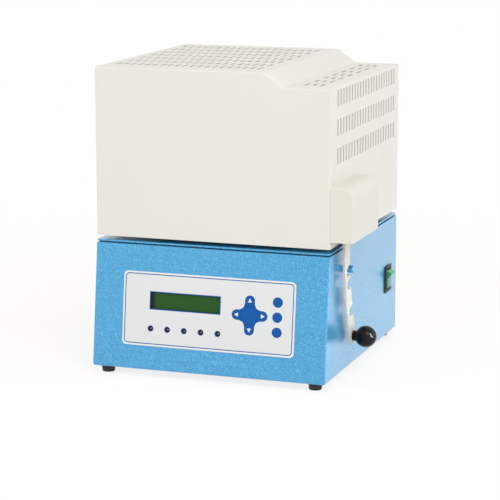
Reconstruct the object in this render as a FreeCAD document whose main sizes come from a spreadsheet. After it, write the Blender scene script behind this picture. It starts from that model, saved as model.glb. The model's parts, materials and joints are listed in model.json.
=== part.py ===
import FreeCAD, Part
import math
import operator
import os
import Sketcher
from types import SimpleNamespace

# Dental porcelain furnace: a square base with the controls, and a heating hood hinged on its rear edge.
# X points to the right, Y to the back, Z up. Lengths are millimetres, angles degrees.

SIZES = {
    # housing, outside
    "hood_width": 282.0,
    "hood_depth": 283.0,
    "hood_low_height": 179.3,
    "roof_step": 16.0,
    "roof_slope_inset": 77.4,
    "roof_slope_run": 22.6,
    "hood_sheet": 1.2,
    "hood_edge_round": 2.0,
    "hood_gap": 4.7,
    # housing slots
    "roof_slot_width": 4.0,
    "roof_slot_length": 20.0,
    "roof_slot_pitch": 9.05,
    "roof_slot_row_pitch": 35.0,
    "slot_margin": 15.0,
    "low_slot_inset": 39.2,
    "side_slot_width": 4.0,
    "side_slot_height": 18.5,
    "side_slot_pitch": 11.05,
    "side_slot_row_pitch": 32.6,
    "side_slot_drop": 13.0,
    "side_slot_margin": 20.0,
    "slot_centre_y": 2.0,
    # base, outside
    "base_side_step": 0.5,
    "base_front_step": 1.2,
    "base_front_lean": 17.5,
    "base_rear_inset": 3.0,
    "base_height": 143.3,
    "base_sheet": 1.5,
    "base_edge_round": 2.5,
    "base_ledge": 14.0,
    "gasket_thick": 1.5,
    "gasket_inset": 3.0,
    "top_plate_thick": 2.0,
    "top_plate_inset": 0.7,
    "foot_height": 8.2,
    "foot_top_radius": 8.2,
    "foot_bottom_radius": 7.2,
    "foot_side_inset": 15.0,
    "foot_front_inset": 13.2,
    "foot_rear_inset": 12.0,
    # muffle
    "can_side_gap": 9.8,
    "can_radius": 95.0,
    "can_sheet": 1.0,
    "can_height": 150.0,
    "mouth_radius": 75.0,
    "mouth_bore_radius": 48.0,
    "mouth_height": 18.0,
    "tube_radius": 51.0,
    "tube_bore_radius": 47.0,
    "tube_height": 78.0,
    "coil_radius": 55.5,
    "coil_wire_radius": 1.6,
    "coil_pitch": 7.6,
    "lead_radius": 1.5,
    "lead_spread": 24.0,
    "thermocouple_radius": 2.5,
    "thermocouple_reach": 16.0,
    "floor_plate": 1.5,
    "floor_plate_lift": 0.8,
    # firing place on the base
    "seal_thick": 2.0,
    "seal_radius": 74.0,
    "seal_bore_radius": 50.0,
    "pedestal_radius": 45.0,
    "pedestal_foot_radius": 60.0,
    "pedestal_rise": 11.0,
    "pedestal_foot_height": 14.0,
    "cup_sheet": 1.5,
    "tray_radius": 36.0,
    "tray_height": 6.0,
    "tray_hole_radius": 3.0,
    "tray_hole_pitch": 11.0,
    # rear hinge
    "hinge_reach": 8.0,
    "hinge_rise": 6.5,
    "hinge_spread": 170.0,
    "hinge_pin_radius": 4.0,
    "knuckle_radius": 6.0,
    "knuckle_width": 24.0,
    "eye_radius": 7.0,
    "cheek_thick": 4.0,
    "cheek_gap": 18.0,
    "leaf_thick": 3.0,
    "leaf_height": 44.0,
    "spring_wire_radius": 1.1,
    # latch lever and its cover
    "cover_clear": 9.0,
    "cover_length": 103.5,
    "cover_height": 62.3,
    "cover_lift": 8.0,
    "cover_front_inset": 1.0,
    "cover_round": 14.0,
    "cover_sheet": 1.5,
    "lever_thick": 3.0,
    "lever_width": 20.0,
    "lever_standoff": 6.0,
    "pivot_rise": 53.3,
    "lever_drop": 164.9,
    "washer_thick": 1.2,
    "pivot_head": 5.0,
    "pivot_radius": 4.0,
    "pivot_head_radius": 6.5,
    "latch_pin_radius": 4.0,
    "latch_pin_inset": 54.9,
    "latch_pin_drop": 23.7,
    "latch_pin_proud": 2.7,
    "latch_gap": 0.6,
    "notch_depth": 13.0,
    "notch_height": 9.4,
    "notch_step_drop": 0.4,
    "notch_flank_angle": 17.0,
    "knob_radius": 12.5,
    "knob_collar_radius": 6.0,
    "knob_collar": 4.6,
    "knob_stud_radius": 3.0,
    "knob_nut_thick": 2.4,
    # control panel, laid out from its own middle
    "panel_width": 208.5,
    "panel_height": 85.5,
    "panel_round": 5.0,
    "panel_sheet": 0.8,
    "panel_x": -0.5,
    "panel_drop": 73.3,
    "window_width": 84.8,
    "window_height": 19.2,
    "window_u": -28.2,
    "window_v": 10.2,
    "glass_border": 1.6,
    "glass_thick": 1.4,
    "led_radius": 2.5,
    "led_pitch": 20.5,
    "led_u": -28.5,
    "led_v": -22.4,
    "key_radius": 5.7,
    "key_proud": 0.3,
    "key_travel": 0.4,
    "key_gap": 0.3,
    "round_key_u": 83.3,
    "round_key_v": 1.6,
    "round_key_pitch": 17.1,
    "cross_u": 50.2,
    "cross_v": 1.6,
    "cross_reach_u": 15.5,
    "cross_reach_v": 16.9,
    "cross_round": 8.8,
    "cross_hub": 10.0,
    "backplate_thick": 2.0,
    "board_thick": 1.6,
    "board_depth": 13.0,
    # rocker switch
    "switch_inset": 42.0,
    "switch_lift": 71.1,
    "switch_width": 25.5,
    "switch_height": 32.6,
    "switch_flange": 2.0,
    "switch_depth": 20.0,
    "rocker_width": 18.0,
    "rocker_half": 11.0,
    "rocker_proud": 6.3,
    "rocker_tip_drop": 3.0,
    "rocker_pin_radius": 1.2,
    # rear fittings
    "inlet_x": -70.0,
    "inlet_lift": 52.0,
    "fuse_x": -20.0,
    # shared clearances
    "running_gap": 0.05,
    "face_gap": 0.3,
    "slip_gap": 0.5,
    "screw_radius": 2.0,
    "screw_head_radius": 3.8,
    "screw_head": 2.2,
}

COIL_TURNS = 8
SPRING_TURNS = 7
NOTCH_OPENINGS = (0.0, 3.8, 12.0)
SIGNS = (-1, 1)

doc = FreeCAD.newDocument("porcelain_furnace")
sheet = doc.addObject("Spreadsheet::Sheet", "Sizes")
vector = FreeCAD.Vector
X_AXIS = vector(1, 0, 0)
Y_AXIS = vector(0, 1, 0)
Z_AXIS = vector(0, 0, 1)
nodes = []


class Size:
    """A number that remembers how the sheet writes it, so that sums of sizes stay linked to their cells."""

    def __init__(self, number, text):
        self.number = number
        self.text = text

    def __add__(self, other):
        return combined(self, operator.add, "+", other)

    def __radd__(self, other):
        return combined(other, operator.add, "+", self)

    def __sub__(self, other):
        return combined(self, operator.sub, "-", other)

    def __rsub__(self, other):
        return combined(other, operator.sub, "-", self)

    def __mul__(self, other):
        return combined(self, operator.mul, "*", other)

    def __rmul__(self, other):
        return combined(other, operator.mul, "*", self)

    def __truediv__(self, other):
        return combined(self, operator.truediv, "/", other)

    def __neg__(self):
        return combined(0, operator.sub, "-", self)


def number_of(value):
    return value.number if isinstance(value, Size) else float(value)


def text_of(value):
    return value.text if isinstance(value, Size) else "%.6f" % value


def combined(left, action, sign, right):
    number = action(number_of(left), number_of(right))
    return Size(number, "(%s %s %s)" % (text_of(left), sign, text_of(right)))


def cell(alias, number):
    """Writes one number to the next free row of the sheet and names it."""
    cell.row += 1
    place = "A%d" % cell.row
    sheet.set(place, repr(number))
    sheet.setAlias(place, alias)
    return Size(float(number), "Sizes." + alias)


cell.row = 0
s = SimpleNamespace(**{alias: cell(alias, number) for alias, number in SIZES.items()})
shift_x = cell("shift_x", 0.0)
shift_y = cell("shift_y", 0.0)
doc.recompute()


def bind(item, **links):
    for name, value in links.items():
        item.setExpression(name, text_of(value))


def seat(item, x, y, z):
    for axis, value in (("x", x), ("y", y), ("z", z)):
        item.setExpression(".Placement.Base." + axis, text_of(value))
    return item


# Plain solids

def block(x, y, z, dx, dy, dz):
    """A box with the middle of its underside at x, y, z."""
    item = doc.addObject("Part::Box", "block")
    bind(item, Length=dx, Width=dy, Height=dz)
    return seat(item, x - dx / 2, y - dy / 2, z)


def rod(x, y, z, radius, length, along="z"):
    """A cylinder that starts at x, y, z and runs along an axis."""
    item = doc.addObject("Part::Cylinder", "rod")
    item.Placement.Rotation = towards(along)
    bind(item, Radius=radius, Height=length)
    return seat(item, x, y, z)


def cone(x, y, z, radius, end_radius, length, along="z"):
    item = doc.addObject("Part::Cone", "cone")
    item.Placement.Rotation = towards(along)
    bind(item, Radius1=radius, Radius2=end_radius, Height=length)
    return seat(item, x, y, z)


def ball(x, y, z, radius):
    item = doc.addObject("Part::Sphere", "ball")
    bind(item, Radius=radius)
    return seat(item, x, y, z)


def hexagon(x, y, z, radius, length, along="z"):
    item = doc.addObject("Part::Prism", "hexagon")
    item.Polygon = 6
    item.Placement.Rotation = towards(along)
    bind(item, Circumradius=radius, Height=length)
    return seat(item, x, y, z)


def tube(x, y, z, radius, bore, length, along="z"):
    return cut(rod(x, y, z, radius, length, along), rod(x, y, z, bore, length, along))


def towards(along):
    if along == "x":
        return FreeCAD.Rotation(Y_AXIS, 90)
    if along == "y":
        return FreeCAD.Rotation(X_AXIS, -90)
    return FreeCAD.Rotation()


def turn(item, y, z, angle, axis=X_AXIS):
    """Places an item at y, z by hand and turns it about an axis through there."""
    item.Placement = FreeCAD.Placement(vector(item.Placement.Base.x, y, z), FreeCAD.Rotation(axis, angle))
    return item


# Joining solids

def join(*items):
    if len(items) == 1:
        return items[0]
    item = doc.addObject("Part::MultiFuse", "join")
    item.Shapes = list(items)
    return item


def cut(base, *tools):
    item = doc.addObject("Part::Cut", "cut")
    item.Base = base
    item.Tool = join(*tools)
    return item


def common(*items):
    item = doc.addObject("Part::MultiCommon", "common")
    item.Shapes = list(items)
    return item


def node(name, *pieces, panel=False):
    """Gathers the separate solids of one named sub-part and lays them in the row's frame."""
    holder = doc.addObject("Part::Compound", name)
    holder.Label = name
    holder.Links = list(pieces)
    if panel:
        lean = number_of(s.base_front_lean)
        height = number_of(s.base_height)
        along = number_of(s.panel_drop) / math.hypot(lean, height)
        holder.Placement.Rotation = FreeCAD.Rotation(X_AXIS, 90 - math.degrees(math.atan2(lean, height)))
        seat(holder, s.panel_x + shift_x, -base_front - s.base_front_lean * along + shift_y,
             base_top - s.base_height * along)
    else:
        seat(holder, shift_x, shift_y, Size(0.0, "0"))
    nodes.append(holder)
    return holder


# Sketched bodies

def new_body(name):
    return doc.addObject("PartDesign::Body", name)


def plane_of(body, role):
    return [part for part in body.Origin.OriginFeatures if part.Role == role][0]


def new_sketch(body, role, offset=0):
    sketch = body.newObject("Sketcher::SketchObject", "sketch")
    sketch.AttachmentSupport = (plane_of(body, role), [""])
    sketch.MapMode = "FlatFace"
    sketch.setExpression(".AttachmentOffset.Base.z", text_of(offset))
    return sketch


def hold(sketch, kind, *places, value):
    index = sketch.addConstraint(Sketcher.Constraint(kind, *places, number_of(value)))
    sketch.setExpression("Constraints[%d]" % index, text_of(value))


def polygon(sketch, points):
    """Draws a closed outline whose corners are each held from the sketch's origin."""
    first = sketch.GeometryCount
    count = len(points)
    spots = [vector(number_of(x), number_of(y), 0) for x, y in points]
    for i in range(count):
        sketch.addGeometry(Part.LineSegment(spots[i], spots[(i + 1) % count]), False)
    for i in range(count):
        sketch.addConstraint(Sketcher.Constraint("Coincident", first + i, 2, first + (i + 1) % count, 1))
    for i, (x, y) in enumerate(points):
        hold(sketch, "DistanceX", -1, 1, first + i, 1, value=x)
        hold(sketch, "DistanceY", -1, 1, first + i, 1, value=y)


def rectangle(sketch, x, y, dx, dy):
    corners = ((-1, -1), (1, -1), (1, 1), (-1, 1))
    polygon(sketch, [(x + dx * (a / 2), y + dy * (b / 2)) for a, b in corners])


def pad(body, sketch, length, back=False, middle=False):
    feature = body.newObject("PartDesign::Pad", "pad")
    feature.Profile = sketch
    feature.Reversed = back
    feature.Midplane = middle
    bind(feature, Length=length)
    doc.recompute()
    return feature


def pocket(body, sketch, back=False, middle=False):
    """Cuts a sketch through the whole body on one side of its plane, or on both."""
    feature = body.newObject("PartDesign::Pocket", "pocket")
    feature.Profile = sketch
    feature.Type = 1
    feature.Reversed = back
    feature.Midplane = middle
    return feature


def hollow(body, sketch, width):
    """Cuts a sketched space of a given width out of the middle of a body."""
    feature = body.newObject("PartDesign::Pocket", "hollow")
    feature.Profile = sketch
    feature.Type = 0
    feature.Midplane = True
    bind(feature, Length=width)
    doc.recompute()
    return feature


def repeat(body, feature, first_role, count, pitch, second_role=None, rows=1, row_pitch=0):
    pattern = body.newObject("PartDesign::LinearPattern", "pattern")
    pattern.Originals = [feature]
    pattern.Direction = (plane_of(body, first_role), [""])
    pattern.Occurrences = count
    bind(pattern, Length=pitch * (count - 1))
    if second_role:
        pattern.Direction2 = (plane_of(body, second_role), [""])
        pattern.Occurrences2 = rows
        bind(pattern, Length2=row_pitch * (rows - 1))
    body.Tip = pattern
    return pattern


def edges_where(feature, test):
    return ["Edge%d" % (i + 1) for i, edge in enumerate(feature.Shape.Edges) if test(edge)]


def faces_where(feature, test):
    return ["Face%d" % (i + 1) for i, face in enumerate(feature.Shape.Faces) if test(face)]


def rounded(body, feature, test, radius):
    fillet = body.newObject("PartDesign::Fillet", "fillet")
    fillet.Base = (feature, edges_where(feature, test))
    bind(fillet, Radius=radius)
    doc.recompute()
    return fillet


def hollowed(body, feature, test, wall):
    shell = body.newObject("PartDesign::Thickness", "shell")
    shell.Base = (feature, faces_where(feature, test))
    shell.Mode = 0
    shell.Join = 0
    bind(shell, Value=wall)
    doc.recompute()
    return shell


def runs_along(edge, axis):
    if len(edge.Vertexes) < 2:
        return False
    way = edge.Vertexes[1].Point - edge.Vertexes[0].Point
    return abs(way.normalize().dot(axis)) > 0.9


def near(value, size):
    return abs(value - number_of(size)) < 0.01


def copies(space, pitch):
    """How many copies at a pitch have their middles within a space."""
    return int(number_of(space) / number_of(pitch)) + 1


# Levels and places that the sub-parts share
base_bottom = s.foot_height
base_top = base_bottom + s.base_height
plate_bottom = base_top + s.gasket_thick
plate_top = plate_bottom + s.top_plate_thick
hood_bottom = plate_top + s.hood_gap
low_roof = hood_bottom + s.hood_low_height
high_roof = low_roof + s.roof_step
half_hood = s.hood_width / 2
half_base = half_hood + s.base_side_step
base_width = 2 * half_base
base_front = s.hood_depth / 2 + s.base_front_step
base_rear = s.hood_depth / 2 - s.base_rear_inset
base_depth = base_front + base_rear
base_middle_y = (base_rear - base_front) / 2
roof_slope_start = half_hood - s.roof_slope_inset
roof_slope_end = roof_slope_start + s.roof_slope_run
muffle_x = s.hood_sheet + s.can_side_gap + s.can_radius - half_hood
hinge_y = s.hood_depth / 2 + s.hinge_reach
hinge_z = base_top + s.hinge_rise
pivot_z = hood_bottom + s.pivot_rise
knob_z = pivot_z - s.lever_drop
latch_pin_y = s.latch_pin_inset - s.hood_depth / 2
latch_pin_z = base_top - s.latch_pin_drop
switch_y = base_rear - s.switch_inset
switch_z = base_bottom + s.switch_lift
inlet_z = base_bottom + s.inlet_lift
fork_screw_z = base_top - 2 - s.leaf_height * 0.68
floor_z = hood_bottom + s.floor_plate_lift
muffle_z = floor_z + s.floor_plate
seal_top = plate_top + s.seal_thick
mouth_z = seal_top + s.face_gap
mouth_top = mouth_z + s.mouth_height
tube_top = mouth_top + s.tube_height
can_top = muffle_z + s.can_height
lever_x = half_hood + s.lever_standoff
lever_face = lever_x + s.lever_thick
washer_x = lever_face + s.face_gap
pivot_head_x = washer_x + s.washer_thick
cover_width = pivot_head_x + s.pivot_head + s.cover_clear + s.cover_sheet - half_hood


def add_hood_cover():
    """The folded sheet hood with its stepped roof, roof slots and side slots."""
    body = new_body("hood_cover_body")
    outline = new_sketch(body, "XZ_Plane")
    polygon(outline, [(-half_hood, hood_bottom), (half_hood, hood_bottom), (half_hood, low_roof),
                      (roof_slope_end, low_roof), (roof_slope_start, high_roof), (-half_hood, high_roof)])
    solid = pad(body, outline, s.hood_depth, middle=True)
    solid = rounded(body, solid, lambda edge: edge.CenterOfMass.z > hood_bottom.number + 1, s.hood_edge_round)
    wall = s.hood_sheet
    space = new_sketch(body, "XZ_Plane")
    polygon(space, [(wall - half_hood, hood_bottom), (half_hood - wall, hood_bottom),
                    (half_hood - wall, low_roof - wall), (roof_slope_end - wall * 0.3, low_roof - wall),
                    (roof_slope_start - wall * 0.3, high_roof - wall), (wall - half_hood, high_roof - wall)])
    hollow(body, space, s.hood_depth - 2 * wall)

    rows = copies(s.hood_depth - 2 * s.slot_margin - s.roof_slot_length, s.roof_slot_row_pitch)
    row_span = s.roof_slot_row_pitch * (rows - 1)
    for first, last in ((s.slot_margin - half_hood, roof_slope_start - s.slot_margin),
                        (half_hood - s.low_slot_inset, half_hood - s.slot_margin)):
        slot = new_sketch(body, "XY_Plane")
        rectangle(slot, first, s.slot_centre_y + row_span / 2, s.roof_slot_width, s.roof_slot_length)
        repeat(body, pocket(body, slot, back=True), "YZ_Plane", copies(last - first, s.roof_slot_pitch),
               s.roof_slot_pitch, "XZ_Plane", rows, s.roof_slot_row_pitch)

    side_slots = copies(s.hood_depth - 2 * s.side_slot_margin - s.side_slot_width, s.side_slot_pitch)
    side_span = s.side_slot_pitch * (side_slots - 1)
    cover_top = hood_bottom + s.cover_lift + s.cover_height
    side_rows = copies(low_roof - s.side_slot_drop - s.side_slot_height / 2 - cover_top,
                       s.side_slot_row_pitch)
    slot = new_sketch(body, "YZ_Plane")
    lowest = low_roof - s.side_slot_drop - s.side_slot_row_pitch * (side_rows - 1)
    rectangle(slot, s.slot_centre_y - side_span / 2, lowest, s.side_slot_width, s.side_slot_height)
    pattern = repeat(body, pocket(body, slot, middle=True), "XZ_Plane", side_slots, s.side_slot_pitch,
                     "XY_Plane", side_rows, s.side_slot_row_pitch)
    pattern.Reversed = True
    screw_bore = s.screw_radius + s.running_gap
    hinge_holes = [rod(sign * s.hinge_spread / 2, rear_inside, hinge_screw_z(row), screw_bore,
                       s.hood_sheet * 2, "y") for sign in SIGNS for row in range(2)]
    pivot_hole = rod(half_hood - s.hood_sheet * 2, pivot_y, pivot_z, s.pivot_radius + s.running_gap,
                     s.hood_sheet * 3, "x")
    node("hood_cover", cut(body, pivot_hole, *hinge_holes))


def hinge_screw_z(row):
    return hood_bottom + s.leaf_height * (0.3 + 0.45 * row)


def add_hood_floor():
    """The plate that closes the hood from below and carries the muffle."""
    plate = block(0, 0, floor_z, s.hood_width - 2 * (s.hood_sheet + s.slip_gap),
                  s.hood_depth - 2 * (s.hood_sheet + s.slip_gap), s.floor_plate)
    mouth = rod(muffle_x, 0, floor_z, s.mouth_radius + s.face_gap, s.floor_plate)
    node("hood_floor", cut(plate, mouth))


def lead_places():
    """Where the two heater leads leave the coil, at the back of the muffle."""
    back = math.sqrt(s.coil_radius.number ** 2 - (s.lead_spread.number / 2) ** 2)
    return [(muffle_x + sign * s.lead_spread / 2, back) for sign in SIGNS]


def add_muffle():
    """The heating chamber: mouth ring, tube, coil, insulation, can, leads and thermocouple."""
    x = muffle_x
    inner = s.can_radius - s.can_sheet
    coil_space = s.coil_radius + s.coil_wire_radius + s.face_gap
    node("mouth_ring", tube(x, 0, mouth_z, s.mouth_radius, s.mouth_bore_radius, s.mouth_height))
    node("muffle_tube", tube(x, 0, mouth_top, s.tube_radius, s.tube_bore_radius, s.tube_height))

    ring = rod(x, 0, muffle_z, inner - s.face_gap, tube_top - muffle_z)
    seat_of_mouth = rod(x, 0, muffle_z, s.mouth_radius + s.face_gap, mouth_top - muffle_z)
    node("insulation_ring", cut(ring, seat_of_mouth, rod(x, 0, muffle_z, coil_space, tube_top - muffle_z)))

    coil_z = mouth_top + s.coil_pitch
    coil_span = s.coil_pitch * (COIL_TURNS - 1)
    turns = []
    for i in range(COIL_TURNS):
        ring = doc.addObject("Part::Torus", "turn")
        bind(ring, Radius1=s.coil_radius, Radius2=s.coil_wire_radius)
        turns.append(seat(ring, x, Size(0.0, "0"), coil_z + i * s.coil_pitch))
    riser = rod(x, -s.coil_radius, coil_z, s.coil_wire_radius * 0.8, coil_span)
    node("heating_coil", join(*turns, riser))

    lead_z = coil_z + coil_span + s.coil_wire_radius + s.face_gap
    top_z = tube_top + s.face_gap
    block_height = 14.0
    lead_end = can_top + block_height * 0.7
    leads = lead_places()
    lead_holes = [rod(a, b, tube_top, s.lead_radius + s.face_gap, can_top - tube_top + block_height)
                  for a, b in leads]
    probe_hole = rod(x, 0, tube_top, s.thermocouple_radius + s.face_gap, can_top - tube_top)
    node("heater_leads", *[rod(a, b, lead_z, s.lead_radius, lead_end - lead_z) for a, b in leads])
    lid = rod(x, 0, top_z, inner - s.face_gap, can_top - s.can_sheet - s.face_gap - top_z)
    node("insulation_top", cut(lid, probe_hole, *lead_holes))
    can = cut(rod(x, 0, muffle_z, s.can_radius, s.can_height),
              rod(x, 0, muffle_z, inner, s.can_height - s.can_sheet))
    node("muffle_can", cut(can, probe_hole, *lead_holes))
    strip = block(x, leads[0][1], can_top, s.lead_spread * 2, 20, block_height)
    node("terminal_block", cut(strip, *lead_holes))
    probe = rod(x, 0, tube_top - s.thermocouple_reach, s.thermocouple_radius, can_top - tube_top + 20)
    node("thermocouple", join(probe, rod(x, 0, can_top, 9, 16)))


def add_rear_hinge():
    """Two strap hinges: knuckles on the hood, forked cheeks on the base, pins and balance springs."""
    knuckles = []
    forks = []
    pins = []
    springs = []
    hood_screws = []
    base_screws = []
    half_fork = s.knuckle_width / 2 + s.cheek_gap
    leaf_y = s.hood_depth / 2 + s.leaf_thick / 2
    bore = s.hinge_pin_radius + s.running_gap
    screw_bore = s.screw_radius + s.running_gap
    hood_head_y = s.hood_depth / 2 + s.leaf_thick
    base_head_y = base_rear + s.leaf_thick
    base_leaf_y = base_rear + s.leaf_thick / 2
    for sign in SIGNS:
        x = sign * s.hinge_spread / 2
        knuckle = rod(x - s.knuckle_width / 2, hinge_y, hinge_z, s.knuckle_radius, s.knuckle_width, "x")
        leaf = block(x, leaf_y, hinge_z, s.knuckle_width, s.leaf_thick, s.leaf_height)
        leaf_holes = [rod(x, s.hood_depth / 2, hinge_screw_z(row), screw_bore, s.leaf_thick, "y")
                      for row in range(2)]
        pin_hole = rod(x - half_fork * 2, hinge_y, hinge_z, bore, half_fork * 4, "x")
        knuckles.append(cut(join(knuckle, leaf), pin_hole, *leaf_holes))
        for row in range(2):
            hood_screws.append(join(
                rod(x, rear_inside - 2 * s.screw_head, hinge_screw_z(row), s.screw_radius,
                    s.hood_sheet + s.leaf_thick + 2 * s.screw_head, "y"),
                rod(x, hood_head_y, hinge_screw_z(row), s.screw_head_radius, s.screw_head, "y")))

        fork_width = 2 * (half_fork + s.cheek_thick)
        fork_leaf = block(x, base_leaf_y, base_top - s.leaf_height - 2, fork_width, s.leaf_thick,
                          s.leaf_height)
        cheeks = []
        for side in SIGNS:
            cheek_x = x + side * (half_fork + s.cheek_thick / 2)
            web_depth = hinge_y + s.eye_radius - base_rear
            cheeks.append(block(cheek_x, base_rear + web_depth / 2, base_top - s.leaf_height / 2,
                                s.cheek_thick, web_depth, hinge_z - base_top + s.leaf_height / 2))
            cheeks.append(rod(cheek_x - s.cheek_thick / 2, hinge_y, hinge_z, s.eye_radius, s.cheek_thick,
                              "x"))
        fork_holes = [rod(x + side * 14, base_rear, fork_screw_z, screw_bore, s.leaf_thick, "y")
                      for side in SIGNS]
        forks.append(cut(join(fork_leaf, *cheeks), pin_hole, *fork_holes))
        for side in SIGNS:
            base_screws.append(join(
                rod(x + side * 14, base_rear - s.base_sheet - 2, fork_screw_z, s.screw_radius,
                    s.base_sheet + s.leaf_thick + 2, "y"),
                rod(x + side * 14, base_head_y, fork_screw_z, s.screw_head_radius, s.screw_head, "y")))

        pin_start = x - half_fork - s.cheek_thick - s.face_gap
        pin_length = 2 * (half_fork + s.cheek_thick + s.face_gap)
        pins.append(join(rod(pin_start, hinge_y, hinge_z, s.hinge_pin_radius, pin_length, "x"),
                         rod(pin_start - 2.5, hinge_y, hinge_z, s.knuckle_radius, 2.5, "x")))
        for side in SIGNS:
            springs.append(balance_spring(x + side * (s.knuckle_width / 2 + s.cheek_gap / 2)))
    node("hood_hinges", *knuckles)
    node("hood_hinge_screws", *hood_screws)
    node("base_hinges", *forks)
    node("hinge_pins", *pins)
    node("balance_springs", *springs)
    return base_screws


def balance_spring(x):
    """A close-wound torsion spring round the hinge pin, with one leg down the fork."""
    mean_radius = s.hinge_pin_radius + s.spring_wire_radius + s.slip_gap
    pitch = s.spring_wire_radius * 1.6
    first = x - pitch * ((SPRING_TURNS - 1) / 2)
    turns = []
    for i in range(SPRING_TURNS):
        ring = doc.addObject("Part::Torus", "turn")
        ring.Placement.Rotation = towards("x")
        bind(ring, Radius1=mean_radius, Radius2=s.spring_wire_radius)
        turns.append(seat(ring, first + i * pitch, hinge_y, hinge_z))
    leg_length = 26
    leg_y = hinge_y - mean_radius
    leg = rod(x, leg_y, hinge_z - leg_length, s.spring_wire_radius * 0.85, leg_length)
    return join(*turns, leg)


def add_hinge_backing():
    """The strip inside the hood's rear wall that the hinge screws bite into."""
    strip = block(0, rear_inside - 1.5, hood_bottom + s.leaf_height * 0.1, s.hinge_spread + 50, 3,
                  s.leaf_height * 0.85)
    screw_bore = s.screw_radius + s.running_gap
    holes = [rod(sign * s.hinge_spread / 2, rear_inside - 3, hinge_screw_z(row), screw_bore, 3, "y")
             for sign in SIGNS for row in range(2)]
    node("hinge_backing_strip", cut(strip, *holes))


def add_lever_cover():
    """The shell on the right wall that hides the lever's pivot, open below."""
    body = new_body("lever_cover_body")
    front = s.hood_depth / 2 - s.cover_front_inset
    bottom = hood_bottom + s.cover_lift
    outline = new_sketch(body, "XZ_Plane", front)
    rectangle(outline, half_hood + cover_width / 2, bottom + s.cover_height / 2, cover_width, s.cover_height)
    solid = pad(body, outline, s.cover_length, back=True)
    outer_x = half_hood + cover_width
    top = bottom + s.cover_height
    solid = rounded(body, solid, lambda edge: runs_along(edge, Y_AXIS) and near(edge.CenterOfMass.x, outer_x)
                    and near(edge.CenterOfMass.z, top), s.cover_round)
    solid = rounded(body, solid, lambda edge: not runs_along(edge, Y_AXIS)
                    and edge.CenterOfMass.z > bottom.number + 1
                    and edge.CenterOfMass.x > half_hood.number + 1, s.cover_sheet + 0.3)
    hollowed(body, solid, lambda face: near(face.CenterOfMass.z, bottom)
             or near(face.CenterOfMass.x, half_hood), s.cover_sheet)
    node("lever_cover", body)


def lever_frame(opening):
    """Where the latch pin stands in the lever's own frame when the hood is open by an angle."""
    away_y = latch_pin_y.number - hinge_y.number
    away_z = latch_pin_z.number - hinge_z.number
    angle = math.radians(opening)
    y = hinge_y.number + away_y * math.cos(angle) - away_z * math.sin(angle)
    z = hinge_z.number + away_y * math.sin(angle) + away_z * math.cos(angle)
    return y, z


def arc_y(radius, z):
    """The front crossing of a circle round the hinge axis with a level."""
    return hinge_y.number - math.sqrt(radius ** 2 - (hinge_z.number - number_of(z)) ** 2)


pin_swing = math.hypot(latch_pin_y.number - hinge_y.number, latch_pin_z.number - hinge_z.number)
lever_rear_radius = cell("lever_rear_radius", pin_swing + s.latch_pin_radius.number + s.latch_gap.number)
lever_front_radius = lever_rear_radius + s.lever_width
lever_mid_radius = lever_rear_radius + s.lever_width / 2
pivot_y = cell("pivot_y", arc_y(lever_mid_radius.number, pivot_z))
knob_y = cell("knob_y", arc_y(lever_mid_radius.number, knob_z))
rear_inside = s.hood_depth / 2 - s.hood_sheet


def notch(opening):
    """One latch notch: a level slot for the pin, and a sloping flank above it that rides over the pin."""
    y, z = lever_frame(opening)
    up_y, up_z = pivot_y.number - y, pivot_z.number - z
    reach = math.hypot(up_y, up_z)
    up_y, up_z = up_y / reach, up_z / reach
    back_y, back_z = up_z, -up_y
    slope = math.degrees(math.atan2(back_z, back_y))
    radius = s.latch_pin_radius.number
    inner = -(radius + s.latch_gap.number + s.notch_depth.number)
    low = -(radius + s.notch_step_drop.number)
    length = s.notch_depth + s.lever_width

    def spot(along, above):
        return y + back_y * along + up_y * above, z + back_z * along + up_z * above

    slot = doc.addObject("Part::Box", "slot")
    bind(slot, Length=s.lever_thick * 3, Width=length, Height=s.notch_height)
    slot.Placement.Base.x = lever_x.number - s.lever_thick.number
    turn(slot, *spot(inner, low), slope)
    flank_height = s.notch_height.number * 0.7
    flank_turn = math.radians(s.notch_flank_angle.number)
    flank = doc.addObject("Part::Box", "flank")
    bind(flank, Length=s.lever_thick * 3, Width=length, Height=s.notch_height * 0.7)
    flank.Placement.Base.x = lever_x.number - s.lever_thick.number
    start = spot(inner + flank_height * math.sin(flank_turn),
                 low + s.notch_height.number - flank_height * math.cos(flank_turn))
    turn(flank, *start, slope + s.notch_flank_angle.number)
    return [slot, flank]


def add_latch_lever():
    """The notched bar, curved round the hood's hinge axis so that the pin runs along its rear edge."""
    blank = rod(lever_x, hinge_y, hinge_z, lever_front_radius, s.lever_thick, "x")
    inside = rod(lever_x, hinge_y, hinge_z, lever_rear_radius, s.lever_thick, "x")
    level = pivot_z - knob_z
    corner_y = knob_y.number - s.lever_width.number
    window = block(lever_x + s.lever_thick / 2, corner_y + 30, knob_z, s.lever_thick, 100, level)
    bar = common(cut(blank, inside), window)
    ends = [rod(lever_x, pivot_y, pivot_z, s.lever_width / 2, s.lever_thick, "x"),
            rod(lever_x, knob_y, knob_z, s.lever_width / 2, s.lever_thick, "x")]
    bores = [rod(lever_x, pivot_y, pivot_z, s.pivot_radius + s.running_gap, s.lever_thick, "x"),
             rod(lever_x, knob_y, knob_z, s.knob_stud_radius + s.running_gap, s.lever_thick, "x")]
    notches = [tool for opening in NOTCH_OPENINGS for tool in notch(opening)]
    node("latch_lever", cut(join(bar, *ends), *bores, *notches))


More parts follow.
